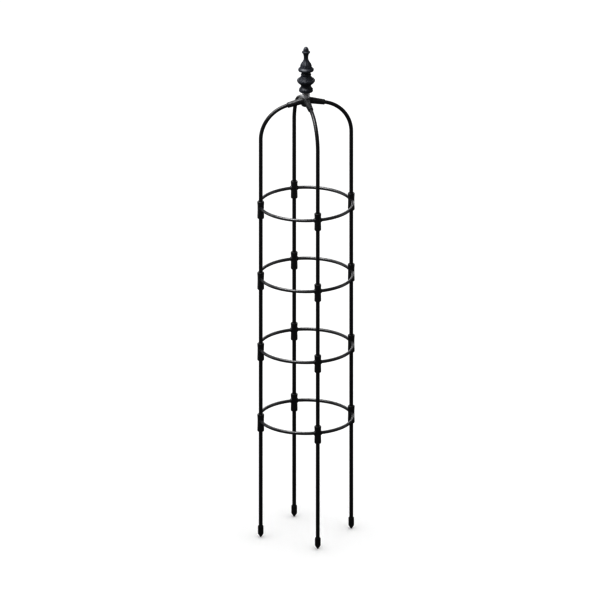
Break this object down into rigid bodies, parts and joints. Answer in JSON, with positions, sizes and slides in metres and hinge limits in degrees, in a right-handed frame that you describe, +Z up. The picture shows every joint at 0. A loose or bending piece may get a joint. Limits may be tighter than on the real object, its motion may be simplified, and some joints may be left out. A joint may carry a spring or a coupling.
{
  "type": "garden obelisk",
  "caption": "Tall round plant support: tubular legs joined by rings in moulded sockets, pointed ground spikes, a domed top and a turned finial that lifts off.",
  "frame": {"origin": "on the centre line, level with the tips of the four ground spikes", "axes": "+Z up along the centre line to the finial; -Y is the front; the legs stand on the diagonals between the sides"},
  "size_m": [0.374, 0.374, 2.0131],
  "materials": {
    "coated_tube": "black plastic coating over steel tube, satin",
    "coated_ring": "black plastic coating over steel tube, satin",
    "moulded_black": "moulded black plastic, satin to matte",
    "spike_black": "moulded black plastic, slightly glossy",
    "stem_metal": "plain grey tube, satin",
    "finial_resin": "cast black resin, satin, faintly blue"
  },
  "bodies": {
    "frame": {"finial_stem": "stem_metal", "top_hub": "moulded_black", "arch_tube_front_left": "coated_tube", "arch_tube_front_right": "coated_tube", "arch_tube_back_right": "coated_tube", "arch_tube_back_left": "coated_tube", "upper_tube_front_left": "coated_tube", "upper_tube_front_right": "coated_tube", "upper_tube_back_right": "coated_tube", "upper_tube_back_left": "coated_tube", "middle_tube_front_left": "coated_tube", "middle_tube_front_right": "coated_tube", "middle_tube_back_right": "coated_tube", "middle_tube_back_left": "coated_tube", "lower_tube_front_left": "coated_tube", "lower_tube_front_right": "coated_tube", "lower_tube_back_right": "coated_tube", "lower_tube_back_left": "coated_tube", "ground_tube_front_left": "coated_tube", "ground_tube_front_right": "coated_tube", "ground_tube_back_right": "coated_tube", "ground_tube_back_left": "coated_tube", "spike_front_left": "spike_black", "spike_front_right": "spike_black", "spike_back_right": "spike_black", "spike_back_left": "spike_black", "connector_1_front_left": "moulded_black", "connector_1_front_right": "moulded_black", "connector_1_back_right": "moulded_black", "connector_1_back_left": "moulded_black", "connector_2_front_left": "moulded_black", "connector_2_front_right": "moulded_black", "connector_2_back_right": "moulded_black", "connector_2_back_left": "moulded_black", "connector_3_front_left": "moulded_black", "connector_3_front_right": "moulded_black", "connector_3_back_right": "moulded_black", "connector_3_back_left": "moulded_black", "connector_4_front_left": "moulded_black", "connector_4_front_right": "moulded_black", "connector_4_back_right": "moulded_black", "connector_4_back_left": "moulded_black", "ring_1_front": "coated_ring", "ring_1_right": "coated_ring", "ring_1_back": "coated_ring", "ring_1_left": "coated_ring", "ring_2_front": "coated_ring", "ring_2_right": "coated_ring", "ring_2_back": "coated_ring", "ring_2_left": "coated_ring", "ring_3_front": "coated_ring", "ring_3_right": "coated_ring", "ring_3_back": "coated_ring", "ring_3_left": "coated_ring", "ring_4_front": "coated_ring", "ring_4_right": "coated_ring", "ring_4_back": "coated_ring", "ring_4_left": "coated_ring"},
    "finial": {"finial": "finial_resin"}
  },
  "joints": [
    {"name": "finial_lift", "type": "slide", "parent": "frame", "child": "finial", "axis": [0, 0, 1], "range_m": [0, 0.05]}
  ]
}
